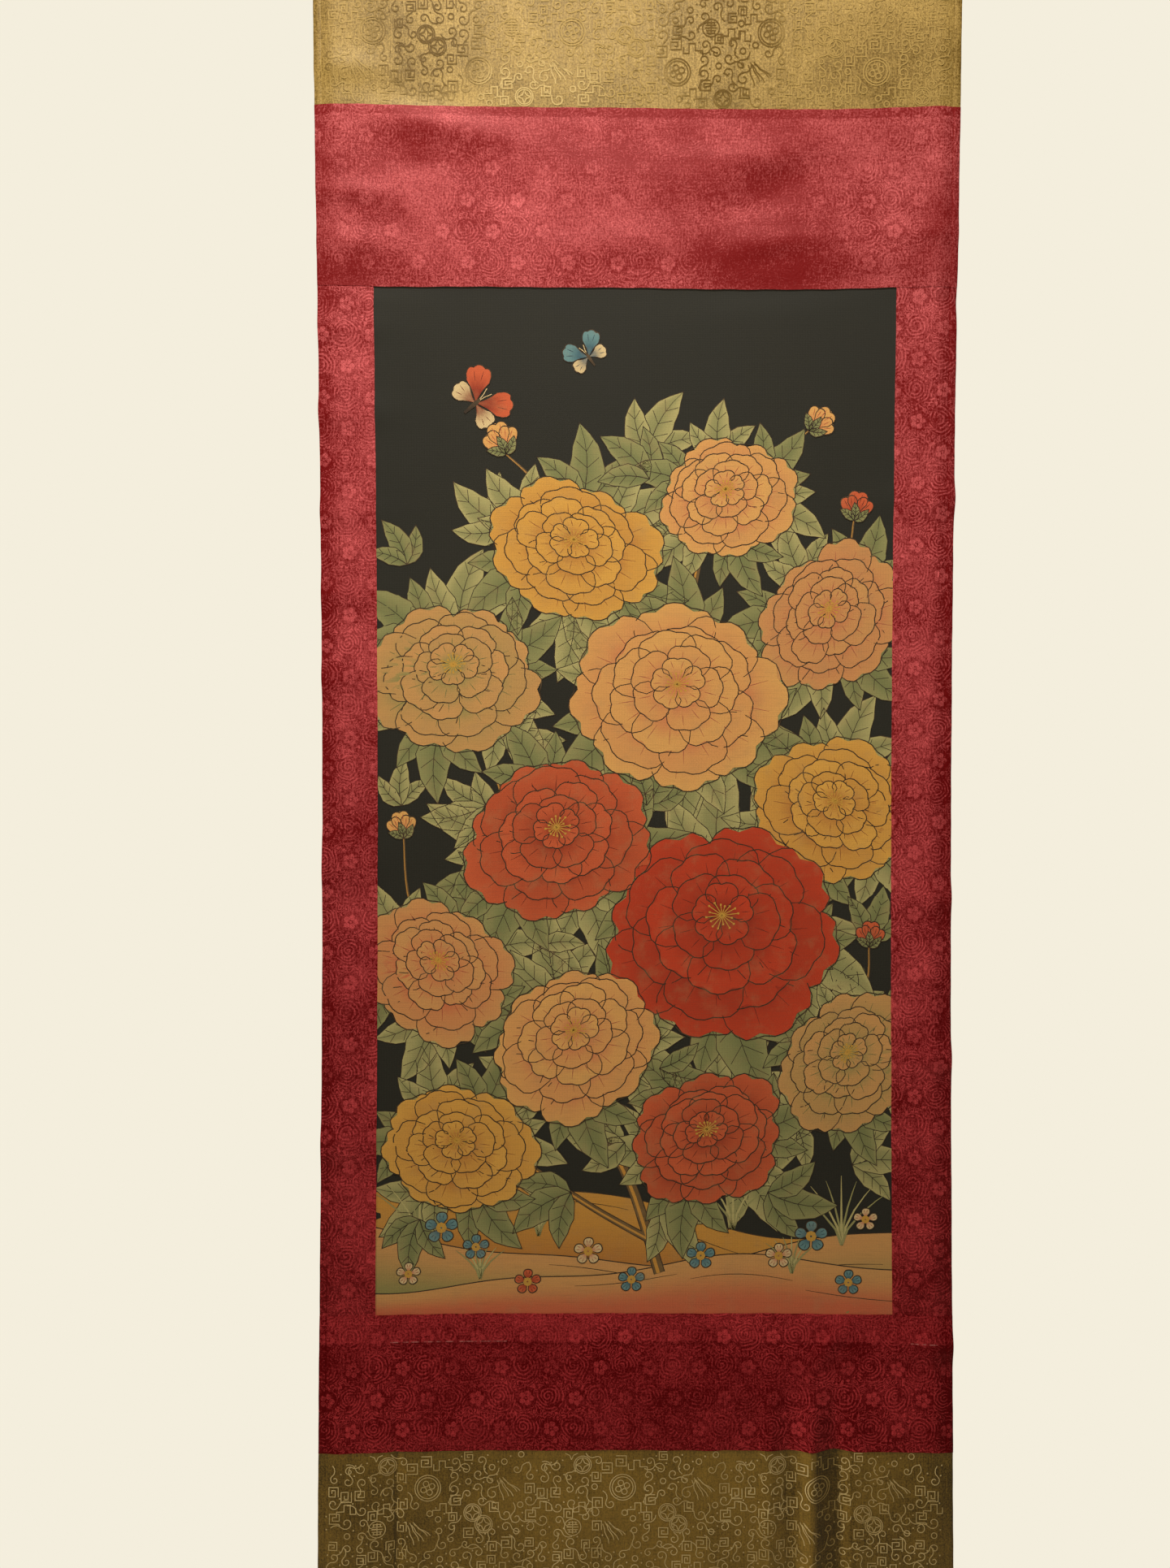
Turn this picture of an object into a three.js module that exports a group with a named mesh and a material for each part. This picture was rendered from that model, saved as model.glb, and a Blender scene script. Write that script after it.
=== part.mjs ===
// A hanging scroll: a painting on silk in a mount of gold and crimson brocade, hung by its top edge.
// Sizes are millimetres. The origin is the middle of the top edge on the face, +Z is up, and the
// face looks along -Y. Seven panels of silk on paper are lapped edge over edge into one sheet.
import * as THREE from 'three';

// What shows of each panel, from seam to seam.
const scrollWidth = 582;
const leftStripWidth = 51;
const rightStripWidth = 55;
const topGoldHeight = 310;
const topCrimsonHeight = 159;
const paintingHeight = 937;
const bottomCrimsonHeight = 125;
const bottomGoldHeight = 205;

// Each panel has a face layer and a back layer. At a seam one neighbour's back layer slips under
// the other's face layer, with a thin gap all round.
const faceLayer = 0.6;
const backLayer = 0.6;
const seamGap = 0.3;
const goldLap = 8;
const pictureLap = 3;

// How the sheet hangs: flat along the top hem, hollow from top to bottom, side edges curled forward.
const flatHem = 30;
const hollowDepth = 18;
const curlPower = 4;
const leftCurl = { top: 3, middle: 9, bottom: 8 };
const rightCurl = { top: 3, middle: 8, bottom: 5 };
const leftDraw = 4.5;
const rightDraw = 3.2;

const leftEdge = -scrollWidth / 2;
const rightEdge = scrollWidth / 2;
const leftSeam = leftEdge + leftStripWidth;
const rightSeam = rightEdge - rightStripWidth;
const goldTopSeam = -topGoldHeight;
const pictureTopSeam = goldTopSeam - topCrimsonHeight;
const pictureBottomSeam = pictureTopSeam - paintingHeight;
const goldBottomSeam = pictureBottomSeam - bottomCrimsonHeight;
const bottomEdge = goldBottomSeam - bottomGoldHeight;

// Soft ridges where the cloth stands forward: centre, reach along and across, lean of the long way
// in degrees from level, and height. A negative height is a trough.
const ridges = [
  { x: -268, z: -276, along: 34, across: 12, lean: 0, height: 1.8 },
  { x: -160, z: -333, along: 62, across: 13, lean: -8, height: 2.0 },
  { x: -255, z: -387, along: 38, across: 10, lean: -4, height: 2.6 },
  { x: -251, z: -431, along: 40, across: 11, lean: 0, height: 2.2 },
  { x: -36, z: -433, along: 90, across: 14, lean: 0, height: 1.5 },
  { x: 112, z: -389, along: 62, across: 19, lean: 28, height: -2.2 },
  { x: 139, z: -431, along: 66, across: 13, lean: 12, height: 2.0 },
  { x: 253, z: -422, along: 42, across: 11, lean: 0, height: 2.2 },
  { x: leftEdge, z: -506, along: 50, across: 12, lean: 0, height: 1.8 },
  { x: leftEdge, z: -582, along: 54, across: 15, lean: 0, height: 2.4 },
  { x: leftEdge, z: -672, along: 46, across: 13, lean: 0, height: 1.6 },
  { x: leftEdge, z: -746, along: 44, across: 13, lean: 0, height: 1.8 },
  { x: leftEdge, z: -821, along: 42, across: 14, lean: 0, height: 1.6 },
  { x: leftEdge, z: -992, along: 48, across: 24, lean: 0, height: 2.2 },
  { x: leftEdge, z: -1250, along: 44, across: 16, lean: 0, height: 1.8 },
  { x: rightEdge, z: -482, along: 40, across: 12, lean: 0, height: -1.6 },
  { x: rightEdge, z: -661, along: 52, across: 15, lean: 0, height: 2.6 },
  { x: rightEdge, z: -1024, along: 44, across: 14, lean: 0, height: 1.8 },
  { x: rightEdge, z: -1171, along: 44, across: 15, lean: 0, height: 1.7 },
  { x: rightEdge, z: -1433, along: 46, across: 14, lean: 0, height: 1.9 },
  { x: 178, z: -1434, along: 26, across: 9, lean: 55, height: 1.6 },
];

// Pleats that run down through the lower end of the scroll and deepen towards its hem.
const pleats = [
  { x: 130, across: 10, height: 2.0 },
  { x: 164, across: 10, height: 3.4 },
  { x: 184, across: 9, height: -2.6 },
  { x: 206, across: 12, height: 1.4 },
  { x: -222, across: 16, height: -1.2 },
];
const pleatZone = { left: 108, right: 220, start: -1440, full: -1620 };

// The seams above the painting sag a little to the right of the middle.
const seamSag = { x: 150, across: 170, drop: 2.4, start: -180, full: -310, end: -760 };

function smoothStep(start, end, value) {
  const share = Math.min(Math.max((value - start) / (end - start), 0), 1);
  return share * share * (3 - 2 * share);
}

function bell(distance) {
  return Math.exp(-distance * distance);
}

function sharedArch(z) {
  const share = Math.min(Math.max((-z - flatHem) / (-bottomEdge - flatHem), 0), 1);
  return Math.sin(Math.PI * share);
}

function curlAt(x, z) {
  const side = x < 0 ? leftCurl : rightCurl;
  const held = smoothStep(-flatHem, -topGoldHeight, z);
  const lower = THREE.MathUtils.lerp(side.top, side.bottom, z / bottomEdge);
  const amount = lower + (side.middle - (side.top + side.bottom) / 2) * sharedArch(z);
  return amount * held * Math.abs(x / rightEdge) ** curlPower;
}

function ridgeAt(ridge, x, z) {
  const lean = THREE.MathUtils.degToRad(ridge.lean);
  const along = (x - ridge.x) * Math.cos(lean) + (z - ridge.z) * Math.sin(lean);
  const across = (z - ridge.z) * Math.cos(lean) - (x - ridge.x) * Math.sin(lean);
  return ridge.height * bell(along / ridge.along) * bell(across / ridge.across);
}

// How far the face stands forward of the plane of the top hem.
function forwardAt(x, z) {
  let forward = curlAt(x, z) - hollowDepth * sharedArch(z);
  for (const ridge of ridges) {
    forward += ridgeAt(ridge, x, z);
  }
  for (const pleat of pleats) {
    const deepened = smoothStep(pleatZone.start, pleatZone.full, z);
    forward += pleat.height * bell((x - pleat.x) / pleat.across) * deepened;
  }
  return forward * smoothStep(-flatHem, -2 * flatHem, z);
}

// Where a point of the cut cloth hangs, at a depth behind the face.
function hangingPoint(x, z, depth) {
  const draw = (x < 0 ? leftDraw : rightDraw) * sharedArch(z) ** 2;
  const begun = smoothStep(seamSag.start, seamSag.full, z);
  const over = smoothStep(seamSag.full, seamSag.end, z);
  const sag = seamSag.drop * bell((x - seamSag.x) / seamSag.across) * (begun - over);
  return [x * (1 - draw / rightEdge), depth - forwardAt(x, z), z - sag];
}

// Lines of the grid that all panels share, so that their facets match across each lap.
const halfGap = seamGap / 2;
const wavyGoldTop = -228;
const columnSpans = [
  { from: leftEdge, to: leftSeam - pictureLap - halfGap, cells: 3 },
  { from: leftSeam - pictureLap + halfGap, to: leftSeam - halfGap, cells: 1 },
  { from: leftSeam + halfGap, to: pleatZone.left, cells: 6 },
  { from: pleatZone.left, to: pleatZone.right, cells: 7 },
  { from: pleatZone.right, to: rightSeam - halfGap, cells: 1 },
  { from: rightSeam + halfGap, to: rightSeam + pictureLap - halfGap, cells: 1 },
  { from: rightSeam + pictureLap + halfGap, to: rightEdge, cells: 3 },
];
const rowSpans = [
  { from: 0, to: -flatHem, cells: 1 },
  { from: -flatHem, to: -2 * flatHem, cells: 1 },
  { from: -2 * flatHem, to: wavyGoldTop, cells: 3 },
  { from: wavyGoldTop, to: goldTopSeam + halfGap, cells: 6 },
  { from: goldTopSeam - halfGap, to: goldTopSeam - goldLap + halfGap, cells: 1 },
  { from: goldTopSeam - goldLap - halfGap, to: pictureTopSeam + pictureLap + halfGap, cells: 12 },
  { from: pictureTopSeam + pictureLap - halfGap, to: pictureTopSeam + halfGap, cells: 1 },
  { from: pictureTopSeam - halfGap, to: pictureBottomSeam + halfGap, cells: 55 },
  { from: pictureBottomSeam - halfGap, to: pictureBottomSeam - pictureLap + halfGap, cells: 1 },
  { from: pictureBottomSeam - pictureLap - halfGap, to: goldBottomSeam + goldLap + halfGap, cells: 7 },
  { from: goldBottomSeam + goldLap - halfGap, to: goldBottomSeam + halfGap, cells: 1 },
  { from: goldBottomSeam - halfGap, to: bottomEdge, cells: 7 },
];

function gridLines(spans) {
  const lines = [];
  for (const span of spans) {
    for (let step = 0; step <= span.cells; step += 1) {
      const line = span.from + ((span.to - span.from) * step) / span.cells;
      if (lines.every((other) => Math.abs(other - line) > halfGap)) {
        lines.push(line);
      }
    }
  }
  return lines;
}

const columnLines = gridLines(columnSpans);
const rowLines = gridLines(rowSpans);
const depths = [0, faceLayer, faceLayer + seamGap, faceLayer + seamGap + backLayer];

// A panel's back layer reaches past its face layer by a positive lap, and stops short by a negative.
const goldSilk = { color: 0x8f7040, roughness: 0.62, metalness: 0 };
const crimsonSilk = { color: 0x8a2b28, roughness: 0.6, metalness: 0 };
const paintedSilk = { color: 0x3b382e, roughness: 0.78, metalness: 0 };
const noLap = 0;
const panels = [
  {
    name: 'top_gold_panel',
    silk: goldSilk,
    face: { left: leftEdge, right: rightEdge, top: 0, bottom: goldTopSeam },
    lap: { left: noLap, right: noLap, top: noLap, bottom: goldLap },
  },
  {
    name: 'top_crimson_panel',
    silk: crimsonSilk,
    face: { left: leftEdge, right: rightEdge, top: goldTopSeam, bottom: pictureTopSeam },
    lap: { left: noLap, right: noLap, top: -goldLap, bottom: -pictureLap },
  },
  {
    name: 'left_crimson_strip',
    silk: crimsonSilk,
    face: { left: leftEdge, right: leftSeam, top: pictureTopSeam, bottom: pictureBottomSeam },
    lap: { left: noLap, right: -pictureLap, top: pictureLap, bottom: pictureLap },
  },
  {
    name: 'right_crimson_strip',
    silk: crimsonSilk,
    face: { left: rightSeam, right: rightEdge, top: pictureTopSeam, bottom: pictureBottomSeam },
    lap: { left: -pictureLap, right: noLap, top: pictureLap, bottom: pictureLap },
  },
  {
    name: 'painting_panel',
    silk: paintedSilk,
    face: { left: leftSeam, right: rightSeam, top: pictureTopSeam, bottom: pictureBottomSeam },
    lap: { left: pictureLap, right: pictureLap, top: pictureLap, bottom: pictureLap },
  },
  {
    name: 'bottom_crimson_panel',
    silk: crimsonSilk,
    face: { left: leftEdge, right: rightEdge, top: pictureBottomSeam, bottom: goldBottomSeam },
    lap: { left: noLap, right: noLap, top: -pictureLap, bottom: -goldLap },
  },
  {
    name: 'bottom_gold_panel',
    silk: goldSilk,
    face: { left: leftEdge, right: rightEdge, top: goldBottomSeam, bottom: bottomEdge },
    lap: { left: noLap, right: noLap, top: goldLap, bottom: noLap },
  },
];

function covers(layer, x, z) {
  return x > layer.left && x < layer.right && z < layer.top && z > layer.bottom;
}

// The outer edges stay where they are, and every seam edge stands back by half the gap.
function clearOfSeams(layer) {
  return {
    left: layer.left === leftEdge ? layer.left : layer.left + halfGap,
    right: layer.right === rightEdge ? layer.right : layer.right - halfGap,
    top: layer.top === 0 ? layer.top : layer.top - halfGap,
    bottom: layer.bottom === bottomEdge ? layer.bottom : layer.bottom + halfGap,
  };
}

// One closed body: the cells that the face layer, the glue line and the back layer fill, and a
// facet wherever a filled cell meets an empty one.
function panelGeometry({ face, lap }) {
  const front = clearOfSeams(face);
  const back = clearOfSeams({
    left: face.left - lap.left,
    right: face.right + lap.right,
    top: face.top + lap.top,
    bottom: face.bottom - lap.bottom,
  });
  const filled = (column, row, layer) => {
    const inGrid = columnLines[column] !== undefined && columnLines[column + 1] !== undefined
      && rowLines[row] !== undefined && rowLines[row + 1] !== undefined;
    if (!inGrid || layer < 0 || layer > 2) {
      return false;
    }
    const x = (columnLines[column] + columnLines[column + 1]) / 2;
    const z = (rowLines[row] + rowLines[row + 1]) / 2;
    const inFront = covers(front, x, z);
    const inBack = covers(back, x, z);
    return [inFront, inFront && inBack, inBack][layer];
  };
  const positions = [];
  const triangles = [];
  const known = new Map();
  const corner = (column, row, level) => {
    const key = `${column} ${row} ${level}`;
    if (!known.has(key)) {
      known.set(key, known.size);
      positions.push(...hangingPoint(columnLines[column], rowLines[row], depths[level]));
    }
    return known.get(key);
  };
  const addFacet = (a, b, c, d) => {
    triangles.push(a, b, c, a, c, d);
  };
  for (let column = 0; column < columnLines.length - 1; column += 1) {
    for (let row = 0; row < rowLines.length - 1; row += 1) {
      for (let layer = 0; layer < 3; layer += 1) {
        if (!filled(column, row, layer)) {
          continue;
        }
        const at = (right, down, behind) => corner(column + right, row + down, layer + behind);
        if (!filled(column, row, layer - 1)) {
          addFacet(at(0, 0, 0), at(0, 1, 0), at(1, 1, 0), at(1, 0, 0));
        }
        if (!filled(column, row, layer + 1)) {
          addFacet(at(0, 0, 1), at(1, 0, 1), at(1, 1, 1), at(0, 1, 1));
        }
        if (!filled(column - 1, row, layer)) {
          addFacet(at(0, 0, 0), at(0, 0, 1), at(0, 1, 1), at(0, 1, 0));
        }
        if (!filled(column + 1, row, layer)) {
          addFacet(at(1, 0, 0), at(1, 1, 0), at(1, 1, 1), at(1, 0, 1));
        }
        if (!filled(column, row - 1, layer)) {
          addFacet(at(0, 0, 0), at(1, 0, 0), at(1, 0, 1), at(0, 0, 1));
        }
        if (!filled(column, row + 1, layer)) {
          addFacet(at(0, 1, 0), at(0, 1, 1), at(1, 1, 1), at(1, 1, 0));
        }
      }
    }
  }
  const geometry = new THREE.BufferGeometry();
  geometry.setAttribute('position', new THREE.Float32BufferAttribute(positions, 3));
  geometry.setIndex(triangles);
  geometry.computeVertexNormals();
  return geometry;
}

const scroll = new THREE.Group();
for (const panel of panels) {
  const mesh = new THREE.Mesh(panelGeometry(panel), new THREE.MeshStandardMaterial(panel.silk));
  mesh.name = panel.name;
  scroll.add(mesh);
}

export default scroll;
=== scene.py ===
import math
import random
import bmesh
import bpy
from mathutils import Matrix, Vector


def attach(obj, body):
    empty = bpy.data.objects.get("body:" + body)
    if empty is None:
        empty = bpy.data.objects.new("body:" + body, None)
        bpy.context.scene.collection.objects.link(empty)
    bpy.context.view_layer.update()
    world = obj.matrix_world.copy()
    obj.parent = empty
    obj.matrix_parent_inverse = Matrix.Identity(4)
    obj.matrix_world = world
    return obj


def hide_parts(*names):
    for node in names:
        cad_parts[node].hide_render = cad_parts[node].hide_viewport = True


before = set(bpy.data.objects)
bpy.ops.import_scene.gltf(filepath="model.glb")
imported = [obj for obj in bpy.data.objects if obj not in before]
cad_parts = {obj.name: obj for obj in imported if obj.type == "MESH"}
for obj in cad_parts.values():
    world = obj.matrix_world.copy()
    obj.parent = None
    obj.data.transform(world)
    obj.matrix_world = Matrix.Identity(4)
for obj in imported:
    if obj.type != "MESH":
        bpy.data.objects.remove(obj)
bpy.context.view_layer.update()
mm = 0.001  # every table below is in millimetres, and the scene is in metres

# The scroll as it is cut and joined, from seam to seam
scroll = {
    "width": 582.0, "leftStrip": 51.0, "rightStrip": 55.0,
    "topGold": 310.0, "topCrimson": 159.0, "painting": 937.0, "bottomCrimson": 125.0, "bottomGold": 205.0,
    "goldLap": 8.0, "pictureLap": 3.0,
}
rightEdge = scroll["width"] / 2
leftEdge = -rightEdge
leftSeam = leftEdge + scroll["leftStrip"]
rightSeam = rightEdge - scroll["rightStrip"]
goldTopSeam = -scroll["topGold"]
pictureTopSeam = goldTopSeam - scroll["topCrimson"]
pictureBottomSeam = pictureTopSeam - scroll["painting"]
goldBottomSeam = pictureBottomSeam - scroll["bottomCrimson"]
bottomEdge = goldBottomSeam - scroll["bottomGold"]

# How it hangs: the same form as the solids, then finer creases
hanging = {
    "flatHem": 30.0, "hollow": 18.0, "curlPower": 4,
    "leftCurl": (3.0, 9.0, 8.0), "rightCurl": (3.0, 8.0, 5.0),  # top, middle, bottom
    "leftDraw": 4.5, "rightDraw": 3.2, "edgeBack": 4.0, "edgeReach": 20.0, "edgePast": 6.0,
    "pleatStart": -1446.0, "pleatFull": -1560.0,
    "sagX": 150.0, "sagAcross": 170.0, "sagDrop": 2.4,
    "sagStart": -180.0, "sagFull": -310.0, "sagEnd": -760.0,
    # the silk creases more sharply than the solids, and most at its sides
    "ridgeGain": 1.25, "sideGain": 1.75, "bellReach": 3.2, "foldBand": 20.0,
}
# Ridges: x, z, reach along, reach across, lean in degrees, height
ridges = [
    (-268, -276, 34, 12, 0, 1.8), (-160, -333, 62, 13, -8, 2.0), (-255, -387, 38, 10, -4, 2.6),
    (-251, -431, 40, 11, 0, 2.2), (-36, -433, 90, 14, 0, 1.5), (112, -389, 62, 19, 28, -2.2),
    (139, -431, 66, 13, 12, 2.0), (253, -422, 42, 11, 0, 2.2), (leftEdge, -506, 50, 12, 0, 1.8),
    (leftEdge, -582, 54, 15, 0, 2.4), (leftEdge, -672, 46, 13, 0, 1.6), (leftEdge, -746, 44, 13, 0, 1.8),
    (leftEdge, -821, 42, 14, 0, 1.6), (leftEdge, -992, 48, 24, 0, 2.2), (leftEdge, -1250, 44, 16, 0, 1.8),
    (rightEdge, -482, 40, 12, 0, -1.6), (rightEdge, -661, 52, 15, 0, 2.6), (rightEdge, -1024, 44, 14, 0, 1.8),
    (rightEdge, -1171, 44, 15, 0, 1.7), (rightEdge, -1433, 46, 14, 0, 1.9), (178, -1434, 26, 9, 55, 1.6),
]
# Pleats down the lower end: x, reach across, height
pleats = [
    (122, 8, 2.6), (141, 7, -1.6), (161, 8, 5.6), (183, 9, -5.0), (204, 9, 1.6), (228, 12, 1.0),
    (-221, 4, -1.8), (-246, 10, 1.0), (-60, 9, 0.8), (70, 8, 0.9),
]
# Creases that only the silk has: x, z, reach along, reach across, lean in degrees, height
creases = [
    (-120, -318, 190, 3.2, 0, -0.35), (150, -319, 130, 3.0, 0, -0.3), (-205, -352, 40, 6, 6, 0.5),
    (60, -352, 70, 7, -4, 0.45), (205, -371, 46, 6, 14, 0.5), (-120, -402, 60, 7, -5, 0.4),
    (20, -458, 120, 5, 0, 0.3), (-266, -545, 24, 6, 8, 0.55), (-270, -628, 26, 5, -5, 0.5),
    (-268, -706, 22, 6, 4, 0.5), (-268, -782, 24, 5, 0, 0.45), (-270, -868, 24, 8, 5, 0.5),
    (-268, -925, 26, 6, -6, 0.45), (-268, -1052, 24, 7, 3, 0.5), (-268, -1118, 24, 9, 0, 0.4),
    (-268, -1180, 26, 6, -4, 0.5), (-268, -1318, 26, 8, 4, 0.45), (-270, -1376, 24, 6, 0, 0.4),
    (268, -540, 24, 6, -5, 0.5), (268, -598, 26, 6, 4, 0.5), (270, -716, 24, 7, 0, 0.5),
    (268, -778, 24, 6, -5, 0.45), (270, -846, 24, 8, 4, 0.45), (268, -930, 26, 6, 0, 0.5),
    (270, -1096, 26, 7, -4, 0.5), (268, -1240, 24, 6, 4, 0.45), (270, -1330, 24, 8, -3, 0.5),
    (268, -1382, 24, 5, 0, 0.4), (-30, -1431, 240, 2.6, 0, 0.3), (-30, -1436, 240, 2.6, 0, -0.3),
    (-150, -60, 120, 26, 4, 0.8), (120, -120, 130, 30, -5, 0.9), (-60, -200, 150, 28, 3, 0.8),
    (200, -230, 70, 18, 10, 0.7), (-200, -1520, 60, 9, 0, 0.4), (20, -1478, 130, 12, -2, 0.4),
    (-204, -321, 66, 14, -8, 2.3), (-200, -356, 66, 14, -8, -1.6), (-20, -372, 100, 20, -6, 2.2),
    (110, -352, 64, 16, 8, 3.2), (48, -418, 80, 16, 6, 2.2), (-120, -452, 80, 13, 4, 1.6),
    (205, -440, 60, 15, -8, 2.4), (114, -426, 50, 10, 4, 1.6), (126, -440, 60, 12, 14, -1.6),
    (122, -468, 76, 14, 4, -2.0), (-238, -466, 50, 11, 0, -2.0), (-262, -350, 22, 14, 0, 1.2),
    (262, -346, 20, 20, 0, -1.4),
]


def smoothStep(start, end, value):
    share = min(max((value - start) / (end - start), 0.0), 1.0)
    return share * share * (3 - 2 * share)


def bell(distance):
    return math.exp(-distance * distance) if abs(distance) < hanging["bellReach"] else 0.0


def arch(z):
    share = (-z - hanging["flatHem"]) / (-bottomEdge - hanging["flatHem"])
    return math.sin(math.pi * min(max(share, 0.0), 1.0))


def leaning(fold, x, z):
    foldX, foldZ, along, across, lean, height = fold
    turn = math.radians(lean)
    alongPart = (x - foldX) * math.cos(turn) + (z - foldZ) * math.sin(turn)
    acrossPart = (z - foldZ) * math.cos(turn) - (x - foldX) * math.sin(turn)
    return height * bell(alongPart / along) * bell(acrossPart / across)


def sortFolds():
    # which folds reach each band of the height
    sharper = [(*fold[:5], fold[5] * hanging["sideGain" if abs(fold[0]) == rightEdge else "ridgeGain"])
               for fold in ridges]
    bands = {}
    for fold in sharper + creases:
        reach = hanging["bellReach"] * math.hypot(fold[2] * math.sin(math.radians(fold[4])), fold[3])
        first, last = ((fold[1] + side * reach) / hanging["foldBand"] for side in (-1, 1))
        for band in range(math.floor(first), math.floor(last) + 1):
            bands.setdefault(band, []).append(fold)
    return bands


foldsIn = sortFolds()


def forwardAt(x, z):
    top, middle, bottom = hanging["leftCurl"] if x < 0 else hanging["rightCurl"]
    held = smoothStep(-hanging["flatHem"], goldTopSeam, z)
    amount = top + (bottom - top) * z / bottomEdge + (middle - (top + bottom) / 2) * arch(z)
    forward = amount * held * abs(x / rightEdge) ** hanging["curlPower"] - hanging["hollow"] * arch(z)
    forward += sum(leaning(fold, x, z) for fold in foldsIn.get(math.floor(z / hanging["foldBand"]), ()))
    atEdge = smoothStep(rightEdge - hanging["edgeReach"], rightEdge + hanging["edgePast"], abs(x))
    forward -= hanging["edgeBack"] * held * atEdge
    deepened = smoothStep(hanging["pleatStart"], hanging["pleatFull"], z)
    forward += sum(height * bell((x - pleatX) / across) for pleatX, across, height in pleats) * deepened
    return forward * smoothStep(-hanging["flatHem"], -2 * hanging["flatHem"], z)


def hung(x, z, depth):
    # a point of the cut cloth, where it hangs, at a depth behind the face
    draw = (hanging["leftDraw"] if x < 0 else hanging["rightDraw"]) * arch(z) ** 2
    begun = smoothStep(hanging["sagStart"], hanging["sagFull"], z)
    begun -= smoothStep(hanging["sagFull"], hanging["sagEnd"], z)
    sag = hanging["sagDrop"] * bell((x - hanging["sagX"]) / hanging["sagAcross"]) * begun
    return Vector((x * (1 - draw / rightEdge), depth - forwardAt(x, z), z - sag)) * mm


def rgb(code):
    # a colour written as six hexadecimal digits, in linear light
    values = [int(code[place:place + 2], 16) / 255 for place in (0, 2, 4)]
    return tuple(v / 12.92 if v <= 0.04045 else ((v + 0.055) / 1.055) ** 2.4 for v in values)


def blendOf(first, second, share):
    return tuple(a + (b - a) * share for a, b in zip(first, second))


# Shader maths: a Wire is one socket, and its operators add Math nodes
class Wire:
    def __init__(self, net, socket):
        self.net, self.socket = net, socket


def addOperator(name, operation, swapped):
    def operator(wire, *other):
        return wire.net.maths(operation, *(other + (wire,) if swapped else (wire,) + other))
    setattr(Wire, f"__{name}__", operator)


for name, operation in {"add": "ADD", "sub": "SUBTRACT", "mul": "MULTIPLY"}.items():
    addOperator(name, operation, False)
    addOperator("r" + name, operation, True)
for name, operation in {"truediv": "DIVIDE", "lt": "LESS_THAN", "abs": "ABSOLUTE"}.items():
    addOperator(name, operation, False)


class Net:
    def __init__(self, name):
        self.material = bpy.data.materials.new(name)
        self.material.use_nodes = True
        self.tree = self.material.node_tree
        self.shader = self.tree.nodes["Principled BSDF"]

    def node(self, kind, settings, inputs, output=0):
        made = self.tree.nodes.new("ShaderNode" + kind)
        for setting, value in settings.items():
            setattr(made, setting, value)
        for place, value in inputs.items():
            self.feed(made.inputs[place], value)
        return Wire(self, made.outputs[output])

    def feed(self, socket, value):
        if isinstance(value, Wire):
            self.tree.links.new(value.socket, socket)
        else:
            socket.default_value = value

    def maths(self, operation, *values):
        return self.node("Math", {"operation": operation}, dict(enumerate(values)))

    def larger(self, first, second):
        return self.maths("MAXIMUM", first, second)

    def far(self, x, z):
        return self.maths("SQRT", x * x + z * z)

    def wave(self, value, pitch):
        return self.maths("SINE", value * (2 * math.pi / pitch))

    def ramped(self, value, low, high):
        inputs = {0: value, 1: low, 2: high, 3: 0.0, 4: 1.0}
        return self.node("MapRange", {"interpolation_type": "SMOOTHSTEP"}, inputs)

    def mixed(self, share, first, second):
        first, second = (colour if isinstance(colour, Wire) else (*colour, 1.0) for colour in (first, second))
        return self.node("Mix", {"data_type": "RGBA"}, {0: share, 6: first, 7: second}, 2)

    def vector(self, x, y):
        return self.node("CombineXYZ", {}, {0: x, 1: y})

    def cutPlace(self):
        # the place on the cut cloth, in millimetres
        cut = self.node("UVMap", {"uv_map": "cut"}, {})
        self.across, self.down = (self.node("SeparateXYZ", {}, {0: cut}, axis) * 1000.0 for axis in (0, 1))
        return self.across, self.down, self.vector(self.across, self.down)

    def noise(self, place, scale, detail=2.0, roughness=0.5):
        inputs = {"Vector": place, "Scale": scale, "Detail": detail, "Roughness": roughness}
        return self.node("TexNoise", {"noise_dimensions": "2D"}, inputs)

    def streaks(self, scaleAcross, scaleDown, detail=2.0, roughness=0.5):
        # noise drawn out along the threads, with a scale each way
        place = self.vector(self.across * scaleAcross, self.down * scaleDown)
        return self.noise(place, 1.0, detail, roughness)

    def finish(self, colour, roughness, height=None, strength=0.4, distance=0.0003, fixed=()):
        self.feed(self.shader.inputs["Base Color"], colour)
        self.feed(self.shader.inputs["Roughness"], roughness)
        for name, value in dict(fixed).items():
            self.shader.inputs[name].default_value = value
        if height is not None:
            bump = self.node("Bump", {}, {"Strength": strength, "Distance": distance, "Height": height})
            self.feed(self.shader.inputs["Normal"], bump)
        return self.material


def weave(net, pitch):
    # over and under threads, with slubs that run along the weft
    return net.wave(net.across, pitch) * net.wave(net.down, pitch) * 0.5 + net.streaks(0.02, 0.9) * 1.2


def softPatch(net, patch):
    centreX, centreZ, reachX, reachZ = patch
    x, z = (net.across - centreX) / reachX, (net.down - centreZ) / reachZ
    return net.ramped(x * x + z * z, 1.5, 0.2)


def silkGloss(level, tint):
    return {"IOR": 1.5, "Specular IOR Level": level, "Specular Tint": tint}


# Each panel is one thin closed sheet with its silk in front and paper behind
cloth = {"thick": 0.5, "spacing": 3.4, "paintingSpacing": 4.6, "hem": 6.5, "hemStep": 0.25, "backShare": 0.06}

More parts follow.
